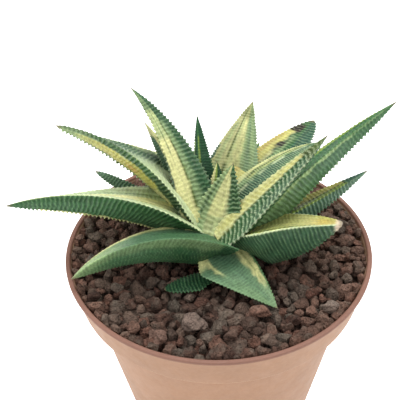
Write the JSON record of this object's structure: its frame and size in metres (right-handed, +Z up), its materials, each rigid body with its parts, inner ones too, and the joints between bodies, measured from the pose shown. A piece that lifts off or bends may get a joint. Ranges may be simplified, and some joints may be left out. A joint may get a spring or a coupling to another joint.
{
  "type": "potted haworthia",
  "caption": "Succulent with thick pointed ridged leaves striped cream and green, rooted under lava gravel in a round tapered terracotta-coloured nursery pot.",
  "frame": {"origin": "centre of the underside of the pot", "axes": "+Z up along the pot's axis; -Y is the front, the side with the low drooping leaf; +X is to the right seen from the front"},
  "size_m": [0.1291, 0.105, 0.1339],
  "materials": {
    "pot_plastic": "satin moulded polypropylene, terracotta colour",
    "soil": "rough moist peat",
    "lava_gravel": "rough porous lava grains",
    "lava_brown": "rough porous lava",
    "lava_pale": "rough porous lava, greyer",
    "stem": "matte fleshy plant tissue",
    "leaf_green": "satin succulent skin with raised pale ridges",
    "leaf_striped": "satin succulent skin, green with yellow lengthwise stripes",
    "leaf_cream": "satin succulent skin, cream with green lengthwise stripes"
  },
  "bodies": {
    "root": {"pot": "pot_plastic", "potting_soil": "soil", "gravel_bed": "lava_gravel", "stem_and_roots": "stem", "stone_pale_brown": "lava_pale", "stone_grey_brown": "lava_pale", "stone_pale_grey": "lava_pale", "stone_front_flat": "lava_brown", "stone_front_left": "lava_brown", "stone_shaded": "lava_brown", "stone_left_round": "lava_brown", "stone_left_small": "lava_brown", "stone_right_mid": "lava_brown", "stone_right_tall": "lava_brown", "stone_right_low": "lava_brown", "stone_front_mid": "lava_brown", "stone_front_right": "lava_brown", "stone_left_edge": "lava_brown", "stone_far_left": "lava_pale", "stone_left_rim": "lava_brown", "stone_left_dark": "lava_brown", "stone_right_edge": "lava_brown", "stone_right_near": "lava_brown", "stone_back_left": "lava_brown", "stone_back": "lava_brown", "stone_back_right": "lava_pale", "stone_back_mid": "lava_brown", "stone_right_back": "lava_brown", "leaf_heart_front": "leaf_cream", "leaf_heart_small": "leaf_striped", "leaf_heart_dark": "leaf_green", "leaf_rear_narrow": "leaf_green", "leaf_rear_upright": "leaf_cream", "leaf_front_right_striped": "leaf_cream", "leaf_left_tall": "leaf_cream", "leaf_right_ridged": "leaf_striped", "leaf_right_longest": "leaf_green", "leaf_left_raised": "leaf_striped", "leaf_left_tall_rear": "leaf_cream", "leaf_upper_right_blunt": "leaf_striped", "leaf_left_long": "leaf_green", "leaf_right_rear": "leaf_striped", "leaf_right_broad": "leaf_green", "leaf_front_left_arching": "leaf_green", "leaf_front_drooping": "leaf_green", "leaf_left_short": "leaf_green", "leaf_low_shaded": "leaf_green", "leaf_back_middle": "leaf_striped", "leaf_back_left": "leaf_green", "leaf_back_right": "leaf_green", "leaf_back_low": "leaf_green"}
  },
  "joints": []
}
